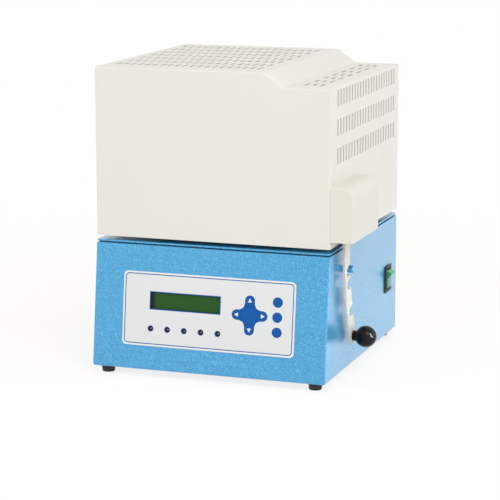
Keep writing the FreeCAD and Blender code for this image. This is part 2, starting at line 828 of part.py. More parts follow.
def add_lever_fittings():
    """Pivot bolt, bush, nut and washer in the hood, and the knob with its stud and nut on the lever."""
    bolt_start = half_hood - s.hood_sheet - 8
    bolt = join(rod(bolt_start, pivot_y, pivot_z, s.pivot_radius, pivot_head_x - bolt_start, "x"),
                hexagon(pivot_head_x, pivot_y, pivot_z, s.pivot_head_radius + 1, s.pivot_head, "x"))
    bore = s.pivot_radius + s.running_gap
    node("pivot_bolt", bolt)
    node("pivot_bush", tube(half_hood, pivot_y, pivot_z, 8, bore, s.lever_standoff - s.face_gap, "x"))
    nut = hexagon(bolt_start + 1.5, pivot_y, pivot_z, s.pivot_head_radius + 1, 6.4, "x")
    node("pivot_nut", cut(nut, rod(bolt_start, pivot_y, pivot_z, bore, 10, "x")))
    node("friction_washer", tube(washer_x, pivot_y, pivot_z, s.pivot_head_radius + 1.5, bore,
                                  s.washer_thick, "x"))

    collar_x = lever_face
    ball_x = collar_x + s.knob_collar + s.knob_radius - 2
    nut_x = lever_x - s.knob_nut_thick
    stud_start = nut_x - 0.6
    stud_end = ball_x + 2
    knob = join(ball(ball_x, knob_y, knob_z, s.knob_radius),
                rod(collar_x, knob_y, knob_z, s.knob_collar_radius, s.knob_radius, "x"))
    stud_bore = s.knob_stud_radius + s.running_gap
    stud_hole = rod(collar_x, knob_y, knob_z, stud_bore, stud_end - collar_x, "x")
    node("ball_knob", cut(knob, stud_hole))
    node("knob_stud", rod(stud_start, knob_y, knob_z, s.knob_stud_radius, stud_end - stud_start, "x"))
    stud_nut = hexagon(nut_x, knob_y, knob_z, s.knob_stud_radius + 2.8, s.knob_nut_thick, "x")
    node("knob_nut", cut(stud_nut, rod(nut_x, knob_y, knob_z, stud_bore, s.knob_nut_thick, "x")))


def on_panel_cutter(u, v, w, du, dv, dw):
    """A box laid out in the control panel's own plane, for cutting the base shell."""
    item = doc.addObject("Part::Compound", "cutter")
    item.Links = [block(u, v, w, du, dv, dw)]
    lean = s.base_front_lean.number
    height = s.base_height.number
    along = s.panel_drop.number / math.hypot(lean, height)
    item.Placement.Rotation = FreeCAD.Rotation(X_AXIS, 90 - math.degrees(math.atan2(lean, height)))
    return seat(item, s.panel_x, -base_front - s.base_front_lean * along, base_top - s.base_height * along)


def add_base_shell():
    """The blue sheet base with its leaning front, its cut-outs and the ledge that carries the top plate."""
    body = new_body("base_shell_body")
    outline = new_sketch(body, "YZ_Plane")
    front_bottom = -base_front - s.base_front_lean
    polygon(outline, [(-base_front, base_top), (front_bottom, base_bottom), (base_rear, base_bottom),
                      (base_rear, base_top)])
    solid = pad(body, outline, base_width, middle=True)
    solid = rounded(body, solid, lambda edge: edge.CenterOfMass.z < base_top.number - 1, s.base_edge_round)
    wall = s.base_sheet
    space = new_sketch(body, "YZ_Plane")
    lean_at_floor = s.base_front_lean * (1 - wall / s.base_height)
    polygon(space, [(wall - base_front, base_top), (wall - base_front - lean_at_floor, base_bottom + wall),
                    (base_rear - wall, base_bottom + wall), (base_rear - wall, base_top)])
    hollow(body, space, base_width - 2 * wall)
    inside_x = base_width - s.base_sheet
    ledge_z = base_top - s.base_sheet
    ledge = cut(block(0, base_middle_y, ledge_z, inside_x, base_depth - s.base_sheet, s.base_sheet),
                block(0, base_middle_y, ledge_z, inside_x - 2 * s.base_ledge, base_depth - 2 * s.base_ledge,
                      s.base_sheet))
    panel_hole = on_panel_cutter(0, 0, -s.base_sheet * 2, s.panel_width - 12, s.panel_height - 12,
                                 s.base_sheet * 3)
    switch_hole = block(half_base, switch_y, switch_z - s.switch_height / 2 + 1.5, s.base_sheet * 3,
                        s.switch_width - 3, s.switch_height - 3)
    pin_hole = rod(half_base - 5, latch_pin_y, latch_pin_z, s.latch_pin_radius + s.running_gap, 10, "x")
    inlet_hole = block(s.inlet_x, base_rear, inlet_z - 10.25, 28, s.base_sheet * 3, 20.5)
    fuse_hole = rod(s.fuse_x, base_rear - 5, inlet_z, 6.3, 10, "y")
    screw_holes = [rod(sign * s.hinge_spread / 2 + side * 14, base_rear - 5, fork_screw_z,
                       s.screw_radius + s.running_gap, 10, "y") for sign in SIGNS for side in SIGNS]
    vents = [block(60 + 9 * i, base_rear, inlet_z - 25, 3.5, s.base_sheet * 3, 50) for i in range(6)]
    foot_holes = [rod(x, y, base_bottom, s.screw_radius + s.running_gap, wall) for x, y in foot_places()]
    air_slots = [block(-60 + 15 * i, row, base_bottom, 6, 40, wall) for i in range(9) for row in (-80, 80)]
    node("base_shell", cut(join(body, ledge), panel_hole, switch_hole, pin_hole, inlet_hole, fuse_hole,
                           *screw_holes, *vents, *foot_holes, *air_slots))


def foot_places():
    half = half_base - s.foot_side_inset
    front = s.foot_front_inset - base_front - s.base_front_lean
    return [(sign * half, y) for sign in SIGNS for y in (front, base_rear - s.foot_rear_inset)]


def add_feet(extra_screws):
    """The rubber feet under the corners, and the screws of the base."""
    feet = []
    screws = list(extra_screws)
    for x, y in foot_places():
        pad_shape = cone(x, y, Size(0.0, "0"), s.foot_bottom_radius, s.foot_top_radius, s.foot_height)
        recess = rod(x, y, Size(0.0, "0"), s.screw_head_radius + s.slip_gap, s.foot_height / 2)
        feet.append(cut(pad_shape, recess, rod(x, y, 0, s.screw_radius + s.running_gap, s.foot_height)))
        head_z = s.foot_height / 2 - s.screw_head
        screws.append(join(rod(x, y, head_z, s.screw_head_radius, s.screw_head),
                           rod(x, y, head_z, s.screw_radius, s.foot_height - head_z + 6)))
    node("feet", *feet)
    node("base_screws", *screws)


def add_base_top():
    """The gasket and plate on top of the base, with the firing place in the middle of the muffle."""
    ring = block(0, base_middle_y, base_top, base_width - 2 * s.gasket_inset,
                 base_depth - 2 * s.gasket_inset, s.gasket_thick)
    inner = block(0, base_middle_y, base_top, base_width - 2 * s.base_ledge,
                  base_depth - 2 * s.base_ledge, s.gasket_thick)
    node("base_gasket", cut(ring, inner))

    body = new_body("base_top_body")
    outline = new_sketch(body, "XY_Plane", plate_bottom)
    rectangle(outline, 0, base_middle_y, base_width - 2 * s.top_plate_inset,
              base_depth - 2 * s.top_plate_inset)
    solid = pad(body, outline, s.top_plate_thick)
    rounded(body, solid, lambda edge: runs_along(edge, Z_AXIS), s.base_edge_round)
    hole = rod(muffle_x, 0, plate_bottom, s.pedestal_radius + s.slip_gap, s.top_plate_thick)
    node("base_top_plate", cut(body, hole))

    x = muffle_x
    foot_z = plate_bottom - s.face_gap - s.pedestal_foot_height
    node("firing_pedestal", join(rod(x, 0, foot_z, s.pedestal_foot_radius, s.pedestal_foot_height),
                                 rod(x, 0, foot_z, s.pedestal_radius, plate_top + s.pedestal_rise - foot_z)))
    wall = s.pedestal_foot_radius + s.slip_gap
    cup_z = foot_z - s.cup_sheet
    outer = join(rod(x, 0, cup_z, wall + s.cup_sheet, plate_bottom - cup_z),
                 rod(x, 0, plate_bottom - s.cup_sheet, wall + 12, s.cup_sheet))
    node("pedestal_cup", cut(outer, rod(x, 0, foot_z, wall, plate_bottom - foot_z)))
    node("seal_ring", tube(x, 0, plate_top, s.seal_radius, s.seal_bore_radius, s.seal_thick))

    tray_z = plate_top + s.pedestal_rise
    holes = []
    reach = s.tray_radius.number - s.tray_hole_radius.number - 2
    pitch = s.tray_hole_pitch.number
    steps = range(-6, 7)
    for i in steps:
        for j in steps:
            along, across = (i + j / 2) * pitch, j * pitch * math.sqrt(3) / 2
            if math.hypot(along, across) < reach:
                holes.append(rod(x + along, across, tray_z, s.tray_hole_radius, s.tray_height))
    node("firing_tray", cut(rod(x, 0, tray_z, s.tray_radius, s.tray_height), *holes))


def add_latch_pin():
    """The round pin on the base's right side that the lever's notches take hold of."""
    inner_x = half_base - s.base_sheet
    end_x = lever_face + s.latch_pin_proud
    chamfer = 0.8
    shaft = rod(inner_x, latch_pin_y, latch_pin_z, s.latch_pin_radius, end_x - inner_x - chamfer, "x")
    tip = cone(end_x - chamfer, latch_pin_y, latch_pin_z, s.latch_pin_radius, s.latch_pin_radius - chamfer,
               chamfer, "x")
    flange = rod(inner_x - 3, latch_pin_y, latch_pin_z, s.latch_pin_radius * 2, 3, "x")
    node("latch_pin", join(shaft, tip, flange))


def key_cross(extra, w, height):
    """The four-lobed cross of the arrow keys, grown all round by an extra width."""
    radius = s.key_radius + extra
    bars = [block(s.cross_u, s.cross_v, w, 2 * s.cross_reach_u, 2 * radius, height),
            block(s.cross_u, s.cross_v, w, 2 * radius, 2 * s.cross_reach_v, height)]
    lobes = [rod(s.cross_u + sign * s.cross_reach_u, s.cross_v, w, radius, height) for sign in SIGNS]
    lobes += [rod(s.cross_u, s.cross_v + sign * s.cross_reach_v, w, radius, height) for sign in SIGNS]
    plain = join(*bars, *lobes)
    doc.recompute()
    corner_round = s.cross_round.number - number_of(extra)
    corners = []
    for i, edge in enumerate(plain.Shape.Edges):
        middle = edge.CenterOfMass
        across = abs(middle.x - s.cross_u.number), abs(middle.y - s.cross_v.number)
        if runs_along(edge, Z_AXIS) and near(across[0], radius) and near(across[1], radius):
            corners.append((i + 1, corner_round, corner_round))
    fillet = doc.addObject("Part::Fillet", "cross")
    fillet.Base = plain
    fillet.Edges = corners
    return fillet


ARROWS = {"up": (0, 1), "down": (0, -1), "left": (-1, 0), "right": (1, 0)}
ROUND_KEYS = {"top": 1, "middle": 0, "bottom": -1}


def arrow_region(way, start, w, height):
    """The part of the cross that belongs to one arrow, from a distance off the hub."""
    length = 30.0
    du, dv = way
    u = s.cross_u + du * (start + length / 2)
    v = s.cross_v + dv * (start + length / 2)
    return block(u, v, w, length if du else 40, length if dv else 40, height)


def add_keys():
    """Four arrow keys and three round keys, each its own small plunger."""
    low = -(s.key_travel + 0.05)
    height = s.panel_sheet + s.key_proud - low
    for name, way in ARROWS.items():
        lobe = arrow_region(way, s.cross_hub, low, height)
        node("arrow_key_" + name, common(key_cross(0, low, height), lobe), panel=True)
    for name, row in ROUND_KEYS.items():
        v = s.round_key_v + row * s.round_key_pitch
        node("round_key_" + name, rod(s.round_key_u, v, low, s.key_radius, height), panel=True)


def key_openings(w, height):
    gap = s.key_gap
    cross = key_cross(gap, w, height)
    regions = [arrow_region(way, s.cross_hub - gap, w, height) for way in ARROWS.values()]
    arrows = common(cross, join(*regions))
    rounds = [rod(s.round_key_u, s.round_key_v + row * s.round_key_pitch, w, s.key_radius + gap, height)
              for row in ROUND_KEYS.values()]
    return [arrows] + rounds


def led_places():
    return [s.led_u + (i - 2) * s.led_pitch for i in range(5)]


def add_control_panel():
    """The printed overlay with its window and holes, the spacer sheet and the plate behind them."""
    body = new_body("overlay_body")
    outline = new_sketch(body, "XY_Plane")
    rectangle(outline, Size(0.0, "0"), Size(0.0, "0"), s.panel_width, s.panel_height)
    solid = pad(body, outline, s.panel_sheet)
    rounded(body, solid, lambda edge: runs_along(edge, Z_AXIS), s.panel_round)
    window = block(s.window_u, s.window_v, 0, s.window_width, s.window_height, s.panel_sheet)
    led_holes = [rod(u, s.led_v, 0, s.led_radius + s.key_gap, s.panel_sheet) for u in led_places()]
    openings = key_openings(Size(0.0, "0"), s.panel_sheet)
    node("control_overlay", cut(body, window, *led_holes, *openings), panel=True)

    back = -s.base_sheet
    spacer_width = s.panel_width - 12 - 2 * s.slip_gap
    spacer_height = s.panel_height - 12 - 2 * s.slip_gap
    spacer = block(0, 0, back, spacer_width, spacer_height, s.base_sheet)
    spacer_window = block(s.window_u, s.window_v, back, s.window_width + 5, s.window_height + 5, s.base_sheet)
    spacer_leds = [rod(u, s.led_v, back, s.led_radius + s.slip_gap, s.base_sheet) for u in led_places()]
    openings = key_openings(back, s.base_sheet)
    node("membrane_spacer", cut(spacer, spacer_window, *spacer_leds, *openings), panel=True)

    plate_w = back - s.backplate_thick
    plate = block(0, 0, plate_w, s.panel_width, s.panel_height, s.backplate_thick)
    glass_width = s.window_width + 2 * s.glass_border
    glass_height = s.window_height + 2 * s.glass_border
    glass_hole = block(s.window_u, s.window_v, plate_w, glass_width + 2 * s.face_gap,
                       glass_height + 2 * s.face_gap, s.backplate_thick)
    plate_leds = [rod(u, s.led_v, plate_w, s.led_radius + s.key_gap, s.backplate_thick) for u in led_places()]
    board_w = plate_w - s.board_depth
    posts = [rod(a * (s.panel_width / 2 - 14), b * (s.panel_height / 2 - 14), board_w + s.board_thick, 3,
                 s.board_depth - s.board_thick) for a in SIGNS for b in SIGNS]
    node("panel_backplate", cut(join(plate, *posts), glass_hole, *plate_leds), panel=True)

    glass_w = back - 0.3 - s.glass_thick
    pane = block(s.window_u, s.window_v, glass_w, glass_width, glass_height, s.glass_thick)
    node("display_glass", pane, panel=True)
    module_depth = 6.0
    frame = block(s.window_u, s.window_v, plate_w - module_depth, glass_width + 8, glass_height + 8,
                  module_depth)
    node("display_module", frame, panel=True)

    for name, picks in (("status_leds_red", (0, 1, 3)), ("status_leds_green", (2, 4))):
        bulbs = []
        for i in picks:
            u = led_places()[i]
            dome_w = s.panel_sheet - s.led_radius - s.face_gap
            bulbs.append(join(rod(u, s.led_v, board_w + s.board_thick, s.led_radius,
                                  dome_w - board_w - s.board_thick), ball(u, s.led_v, dome_w, s.led_radius)))
        node(name, *bulbs, panel=True)
    board = block(0, 0, board_w, s.panel_width - 20, s.panel_height - 20, s.board_thick)
    chips = [block(20, -15, board_w - 3, 24, 12, 3), block(-40, 10, board_w - 3, 14, 14, 3),
             block(60, 12, board_w - 8, 16, 30, 8)]
    node("panel_board", join(board, *chips), panel=True)


def add_power_switch():
    """The rocker switch on the right side: a black frame and the rocker that tips in it."""
    y, z = switch_y, switch_z
    cavity_height = 2 * s.rocker_half + 4.4
    pin_x = half_base
    flange = block(half_base + s.switch_flange / 2, y, z - s.switch_height / 2, s.switch_flange,
                   s.switch_width, s.switch_height)
    body_width, body_height = s.switch_width - 3.5, s.switch_height - 3.5
    housing = block(half_base - s.switch_depth / 2, y, z - body_height / 2, s.switch_depth, body_width,
                    body_height)
    cavity_depth = s.switch_depth * 0.6
    cavity = block(half_base - cavity_depth / 2 + s.switch_flange / 2, y, z - cavity_height / 2,
                   cavity_depth + s.switch_flange, s.rocker_width + 2 * s.face_gap, cavity_height)
    bearing = rod(pin_x, y - s.switch_width / 2 + 2.2, z, s.rocker_pin_radius + s.running_gap,
                  s.switch_width - 4.4, "y")
    node("switch_frame", cut(join(flange, housing), cavity, bearing))

    body = new_body("rocker_body")
    outline = new_sketch(body, "XZ_Plane", -y - s.rocker_width / 2)
    half = s.rocker_half
    flat = s.switch_flange + 0.8
    tip_x = pin_x + s.switch_flange + s.rocker_proud
    polygon(outline, [(pin_x - 6, z - 8), (pin_x + flat * 0.3, z - half), (pin_x + flat, z - half),
                      (pin_x + flat + 0.3, z), (tip_x, z + half - s.rocker_tip_drop),
                      (pin_x + flat * 0.3, z + half), (pin_x - 6, z + 8)])
    pad(body, outline, s.rocker_width)
    axle = rod(pin_x, y - s.switch_width / 2 + 2.5, z, s.rocker_pin_radius, s.switch_width - 5, "y")
    node("power_rocker", join(body, axle))


def add_rear_fittings():
    """The mains inlet with its blades, and the fuse holder beside it."""
    x, z = s.inlet_x, inlet_z
    flange = block(x, base_rear + 1.5, z - 12, 50, 3, 24)
    housing = block(x, base_rear - 10, z - 10, 27.5, 20, 20)
    recess = block(x, base_rear - 6, z - 8, 24, 18, 16)
    slots = [rod(x + sign * 20, base_rear, z, 1.8, 3, "y") for sign in SIGNS]
    node("power_inlet", cut(join(flange, housing), recess, *slots))
    blades = [block(x + a, base_rear - 9, z + b - 2, 2, 12, 4) for a, b in ((-7, 2), (7, 2), (0, -3))]
    node("inlet_blades", *blades)
    fuse = join(rod(s.fuse_x, base_rear - 24, z, 6, 24, "y"), rod(s.fuse_x, base_rear, z, 8.5, 3, "y"),
                rod(s.fuse_x, base_rear + 3, z, 6, 7, "y"))
    node("fuse_holder", cut(fuse, block(s.fuse_x, base_rear + 9.5, z - 0.8, 9, 2, 1.6)))


def add_power_electronics():
    """The transformer and the power board on the base's floor."""
    floor = base_bottom + s.base_sheet
    x, y = -60.0, 45.0
    frame = block(x, y, floor, 72, 30, 60)
    windows = [block(x + sign * 18, y, floor + 12, 12, 30, 36) for sign in SIGNS]
    node("transformer_core", cut(frame, *windows))
    coil = cut(block(x, y, floor + 12.3, 47, 50, 35.4), block(x, y, floor + 12.3, 24.6, 30.6, 35.4))
    node("transformer_coil", coil)
    px, py = 55.0, 20.0
    post_height = 8.0
    board_z = floor + post_height
    posts = [rod(px + a * 55, py + b * 40, floor, 3, post_height) for a in SIGNS for b in SIGNS]
    relay = block(px - 30, py + 20, board_z + s.board_thick, 28, 18, 16)
    capacitor = rod(px + 10, py + 25, board_z + s.board_thick, 9, 26)
    strip = block(px, py - 33, board_z + s.board_thick, 70, 12, 14)
    fins = [block(px + 25 + 4 * i, py, board_z + s.board_thick + 4, 1.5, 30, 30) for i in range(6)]
    sink = join(block(px + 35, py, board_z + s.board_thick, 22, 30, 4), *fins)
    node("power_board", join(block(px, py, board_z, 124, 94, s.board_thick), relay, capacitor, strip, *posts))
    node("heat_sink", sink)


def centre_origin():
    """Moves the frame's origin to the middle of the assembly's footprint, on the floor."""
    doc.recompute()
    whole = FreeCAD.BoundBox()
    for holder in nodes:
        whole.add(holder.Shape.BoundBox)
    sheet.set(sheet.getCellFromAlias("shift_x"), repr(round(-whole.Center.x, 4)))
    sheet.set(sheet.getCellFromAlias("shift_y"), repr(round(-whole.Center.y, 4)))
    doc.recompute()


def check():
    """Stops with a message where an object failed or a sub-part is not a sound solid."""
    faults = ["%s in %s: %s" % (item.Label, [parent.Label for parent in item.InList], item.State)
              for item in doc.Objects if "Invalid" in item.State or "Error" in item.State]
    for holder in nodes:
        shape = holder.Shape
        if shape.isNull() or not shape.isValid() or not shape.Solids:
            faults.append("%s has no sound shape" % holder.Label)
        elif len(shape.Solids) != len(holder.Links):
            faults.append("%s holds %d solids" % (holder.Label, len(shape.Solids)))
    if faults:
        raise ValueError("\n".join(faults))


def write_parts():
    os.makedirs("parts", exist_ok=True)
    for holder in nodes:
        holder.Shape.exportStep("parts/%s.step" % holder.Label)


def report():
    """Prints the places that the record needs."""
    whole = FreeCAD.BoundBox()
    for holder in nodes:
        whole.add(holder.Shape.BoundBox)
    shift = nodes[0].Placement.Base
    print("nodes", len(nodes), "box", whole)
    print("shift", shift.x, shift.y)
    print("hinge", shift.y + hinge_y.number, hinge_z.number)
    print("pivot", lever_x.number + shift.x, shift.y + pivot_y.number, pivot_z.number)
    print("rocker", half_base.number + shift.x, shift.y + switch_y.number, switch_z.number)


add_hood_cover()
add_hood_floor()
add_muffle()
base_hinge_screws = add_rear_hinge()
add_hinge_backing()
add_lever_cover()
add_latch_lever()
add_lever_fittings()
add_base_shell()
add_feet(base_hinge_screws)
add_base_top()
add_latch_pin()
add_keys()
add_control_panel()
add_power_switch()
add_rear_fittings()
add_power_electronics()
centre_origin()
check()
write_parts()
report()
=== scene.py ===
import json
import math

import bmesh
import bpy
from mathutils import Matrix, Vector

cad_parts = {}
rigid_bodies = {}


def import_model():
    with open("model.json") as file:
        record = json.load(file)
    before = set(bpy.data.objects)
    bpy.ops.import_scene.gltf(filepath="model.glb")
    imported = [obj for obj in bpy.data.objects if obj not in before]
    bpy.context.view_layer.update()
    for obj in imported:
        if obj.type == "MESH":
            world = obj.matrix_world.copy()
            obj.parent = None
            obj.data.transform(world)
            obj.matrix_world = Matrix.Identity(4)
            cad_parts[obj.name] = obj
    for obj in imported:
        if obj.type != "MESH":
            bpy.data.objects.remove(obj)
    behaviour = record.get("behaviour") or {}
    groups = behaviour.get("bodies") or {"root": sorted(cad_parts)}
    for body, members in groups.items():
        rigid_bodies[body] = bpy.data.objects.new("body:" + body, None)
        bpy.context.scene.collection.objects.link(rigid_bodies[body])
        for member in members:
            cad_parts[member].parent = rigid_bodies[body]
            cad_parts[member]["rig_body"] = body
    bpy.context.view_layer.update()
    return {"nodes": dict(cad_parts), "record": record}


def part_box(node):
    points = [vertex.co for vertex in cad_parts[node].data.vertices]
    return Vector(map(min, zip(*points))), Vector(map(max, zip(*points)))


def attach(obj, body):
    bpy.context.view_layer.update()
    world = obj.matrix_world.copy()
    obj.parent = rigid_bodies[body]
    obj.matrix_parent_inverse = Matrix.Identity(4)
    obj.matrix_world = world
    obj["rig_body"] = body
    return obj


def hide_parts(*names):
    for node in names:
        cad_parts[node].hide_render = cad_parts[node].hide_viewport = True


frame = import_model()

MM = 0.001
nodes = frame["nodes"]

# The control panel's own plane, in millimetres: the base's front leans back by LEAN over its HEIGHT, and the
# panel's middle lies PANEL_DOWN below the front's top edge, measured along the slope
LEAN, HEIGHT = 17.5, 143.3
PANEL_DOWN, PANEL_ASIDE = 73.3, -0.5
SLOPE = math.hypot(LEAN, HEIGHT)
DROP = PANEL_DOWN / SLOPE
base_low, base_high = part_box("base_shell")
BASE_X = (base_low.x + base_high.x) / 2
PANEL_MIDDLE = Vector((BASE_X + PANEL_ASIDE * MM, base_low.y + LEAN * MM * (1 - DROP),
                       base_high.z - HEIGHT * MM * DROP))
PANEL_U = Vector((1, 0, 0))
PANEL_V = Vector((0, LEAN / SLOPE, HEIGHT / SLOPE))

# What is printed on the panel, in millimetres from its middle along and up the slope
OUTLINE_HALF, OUTLINE_RADIUS = (101.7, 40.2), 4.0
CROSS = (50.2, 1.6)
CROSS_REACH = (15.5, 16.9)
CROSS_ROUND = 8.8
TRIANGLE_REACH = (15.9, 17.0)
TRIANGLE_NOSE, TRIANGLE_BACK = 1.15, 2.1
KEY_RADIUS = 5.7
ROUND_KEYS = [(83.3, 1.6 + 17.1 * row) for row in (1, 0, -1)]
LAMPS = [(-28.5 + 20.5 * i, -22.4) for i in (-2, -1, 0, 1, 2)]
LAMP_RING = 3.6
WINDOW = (-28.2, 10.2)
WINDOW_HALF = (42.4, 9.6)
CELL_FIELD_HALF = (36.0, 5.6)
CELL, CELL_FILL = (3.6, 5.6), (0.84, 0.86)
# Width of the painted shadow band down the display's left edge, where the window's recess shades it
WINDOW_SHADOW_WIDTH = 4.9

# Colours that more than one look uses, as linear values
KEY_BLUE = (0.003, 0.100, 0.40)
CREAM = (0.815, 0.795, 0.725)
COVER_CREAM = (0.785, 0.76, 0.685)
COOL_LIGHT = (0.92, 0.97, 1.0)


# Materials

class Graph:
    """A material's node tree, with short ways to add the nodes that the looks below are made of."""

    def __init__(self, name):
        self.material = bpy.data.materials.new(name)
        self.material.use_nodes = True
        self.tree = self.material.node_tree
        self.tree.nodes.clear()
        self.output = self.tree.nodes.new("ShaderNodeOutputMaterial")
        self.shader = self.tree.nodes.new("ShaderNodeBsdfPrincipled")
        self.link(self.shader.outputs[0], self.output.inputs["Surface"])
        self.place = self.tree.nodes.new("ShaderNodeTexCoord").outputs["Object"]

    def link(self, source, target):
        """Joins an output socket to an input socket."""
        self.tree.links.new(source, target)

    def feed(self, socket, value):
        """Sets a socket to a number, colour or vector, or links it."""
        if isinstance(value, bpy.types.NodeSocket):
            self.link(value, socket)
        elif isinstance(value, (tuple, list, Vector)) and len(value) == 3 and socket.type == "RGBA":
            socket.default_value = (*value, 1)
        else:
            socket.default_value = value

    def math(self, operation, *values):
        """A math node on numbers or sockets."""
        node = self.tree.nodes.new("ShaderNodeMath")
        node.operation = operation
        for socket, value in zip(node.inputs, values):
            self.feed(socket, value)
        return node.outputs[0]

    def vector(self, operation, *values, result=0):
        """A vector math node; result 1 is its plain number, for lengths and dot products."""
        node = self.tree.nodes.new("ShaderNodeVectorMath")
        node.operation = operation
        for socket, value in zip(node.inputs, values):
            self.feed(socket, value)
        return node.outputs[result]

    def ramp(self, value, low, high, start=0.0, end=1.0):
        """Maps low..high smoothly to start..end."""
        node = self.tree.nodes.new("ShaderNodeMapRange")
        node.interpolation_type = "SMOOTHSTEP"
        self.feed(node.inputs["Value"], value)
        for name, number in (("From Min", low), ("From Max", high), ("To Min", start), ("To Max", end)):
            node.inputs[name].default_value = number
        return node.outputs[0]

    def mix(self, factor, first, second):
        """A blend from the first colour to the second."""
        node = self.tree.nodes.new("ShaderNodeMix")
        node.data_type = "RGBA"
        self.feed(node.inputs["Factor"], factor)
        self.feed(node.inputs["A"], first)
        self.feed(node.inputs["B"], second)
        return node.outputs["Result"]

    def noise(self, scale, detail=3.0, roughness=0.5, stretch=(1, 1, 1)):
        """Noise in the piece's own place, drawn finer along each axis by the stretch."""
        node = self.tree.nodes.new("ShaderNodeTexNoise")
        self.feed(node.inputs["Vector"], self.vector("MULTIPLY", self.place, stretch))
        node.inputs["Scale"].default_value = scale
        node.inputs["Detail"].default_value = detail
        node.inputs["Roughness"].default_value = roughness
        return node.outputs[0]

    def cells(self, scale, feature="F1", output="Distance"):
        """A pattern of uneven cells."""
        node = self.tree.nodes.new("ShaderNodeTexVoronoi")
        node.feature = feature
        self.feed(node.inputs["Vector"], self.place)
        node.inputs["Scale"].default_value = scale
        return node.outputs[output]

    def bump(self, height, distance, strength=1.0):
        """Adds a bump in metres on top of the ones already there."""
        node = self.tree.nodes.new("ShaderNodeBump")
        node.inputs["Strength"].default_value = strength
        node.inputs["Distance"].default_value = distance
        self.feed(node.inputs["Height"], height)
        socket = self.shader.inputs["Normal"]
        if socket.links:
            self.link(socket.links[0].from_socket, node.inputs["Normal"])
        self.link(node.outputs[0], socket)

    def set(self, **values):
        """Feeds the shader's sockets, by short names."""
        names = {"color": "Base Color", "roughness": "Roughness", "metallic": "Metallic", "ior": "IOR",
                 "coat": "Coat Weight", "coat_roughness": "Coat Roughness",
                 "subsurface": "Subsurface Weight", "subsurface_scale": "Subsurface Scale",
                 "specular": "Specular IOR Level"}
        for name, value in values.items():
            self.feed(self.shader.inputs[names[name]], value)


def powder_coat(name, color, grain=1.0):
    """Baked enamel on sheet metal: a fine orange-peel skin, slightly uneven in tone and gloss."""
    g = Graph(name)
    patches = g.noise(9.0, 4.0, 0.6)
    speck = g.noise(900.0, 2.0, 0.5)
    shade = g.mix(g.ramp(patches, 0.35, 0.7), [c * 0.985 for c in color], color)
    shade = g.mix(g.ramp(speck, 0.4, 0.75, 0.0, 0.10), shade, [c * 0.93 for c in color])
    g.set(color=shade, roughness=g.ramp(g.noise(35.0, 5.0, 0.65), 0.3, 0.7, 0.36, 0.5), specular=0.42)
    g.bump(g.noise(520.0, 2.0, 0.45), 0.00005 * grain, 0.8)
    g.bump(g.noise(60.0, 2.0, 0.4), 0.0002, 0.25)
    return g.material


def hammertone(name, color, light):
    """Hammered metallic enamel: small dimples with brighter flakes between them under a clear coat; the
    flakes' pale blue is partly their own colour and partly a painted sparkle of light.
    """
    g = Graph(name)
    dimples = g.cells(640.0)
    fine = g.noise(1500.0, 2.0, 0.6)
    cloud = g.noise(14.0, 3.0, 0.55)
    mottled = g.noise(780.0, 2.0, 0.6)
    flakes_and_sparkle = g.noise(1100.0, 1.0, 0.5)
    deep = [c * 0.74 for c in color]
    high = [min(c * 1.18, 0.95) for c in color]
    shade = g.mix(g.ramp(mottled, 0.34, 0.66), deep, high)
    # Pale flecks: partly the paint's own flakes, partly painted sparkle that stands in for glints off them
    shade = g.mix(g.ramp(flakes_and_sparkle, 0.60, 0.70, 0.0, 0.8), shade, light)
    shade = g.mix(g.ramp(cloud, 0.3, 0.75, 0.0, 0.12), shade, [c * 0.85 for c in color])
    g.set(color=shade, roughness=g.ramp(fine, 0.35, 0.7, 0.40, 0.24), metallic=0.25, coat=1.0,
          coat_roughness=0.22)
    g.bump(dimples, 0.00016, 0.7)
    g.bump(mottled, 0.00022, 0.6)
    return g.material


def brushed(name, color, roughness=0.34, stretch=(1, 14, 14)):
    """Bare or plated metal with fine lines along one axis."""
    g = Graph(name)
    lines = g.noise(160.0, 4.0, 0.7, stretch)
    smudge = g.noise(28.0, 3.0, 0.6)
    shade = g.mix(g.ramp(lines, 0.3, 0.7), [c * 0.82 for c in color], color)
    g.set(color=shade, metallic=1.0, roughness=g.ramp(smudge, 0.3, 0.75, roughness * 0.8, roughness * 1.25))
    g.bump(lines, 0.00004, 0.4)
    return g.material


def zinc_sheet():
    """Bright galvanised sheet: dull pale crystals of slightly different greys."""
    g = Graph("zinc_sheet")
    crystals = g.cells(70.0, output="Color")
    tone = g.math("MULTIPLY", g.vector("LENGTH", crystals, result=1), 0.6)
    shade = g.mix(g.ramp(tone, 0.2, 0.9), (0.74, 0.70, 0.64), (0.82, 0.78, 0.72))
    g.set(color=shade, metallic=0.2, roughness=g.ramp(g.noise(240.0, 3.0), 0.3, 0.7, 0.45, 0.65))
    g.bump(g.noise(500.0, 3.0, 0.6), 0.00003, 0.4)
    return g.material


def moulded(name, color, roughness=0.4, grain=420.0, depth=0.00003, ior=1.5):
    """Plastic or rubber with the fine grain of its mould."""
    g = Graph(name)
    skin = g.noise(grain, 3.0, 0.55)
    patches = g.noise(40.0, 3.0, 0.5)
    shade = g.mix(g.ramp(patches, 0.3, 0.7), [c * 0.88 for c in color], color)
    g.set(color=shade, roughness=g.ramp(skin, 0.3, 0.7, roughness * 0.85, roughness * 1.15), ior=ior)
    g.bump(skin, depth, 0.6)
    return g.material


def refractory(name, color, grain):
    """Fired ceramic or pressed fibre: chalky, with fine pits."""
    g = Graph(name)
    pits = g.noise(grain, 5.0, 0.7)
    stain = g.noise(30.0, 4.0, 0.6)
    shade = g.mix(g.ramp(stain, 0.35, 0.75), color, [c * s for c, s in zip(color, (0.93, 0.88, 0.80))])
    shade = g.mix(g.ramp(pits, 0.55, 0.75, 0.0, 0.4), shade, [c * 0.8 for c in color])
    g.set(color=shade, roughness=g.ramp(pits, 0.3, 0.7, 0.75, 0.95), specular=0.2)
    g.bump(pits, 0.0004, 0.5)
    return g.material


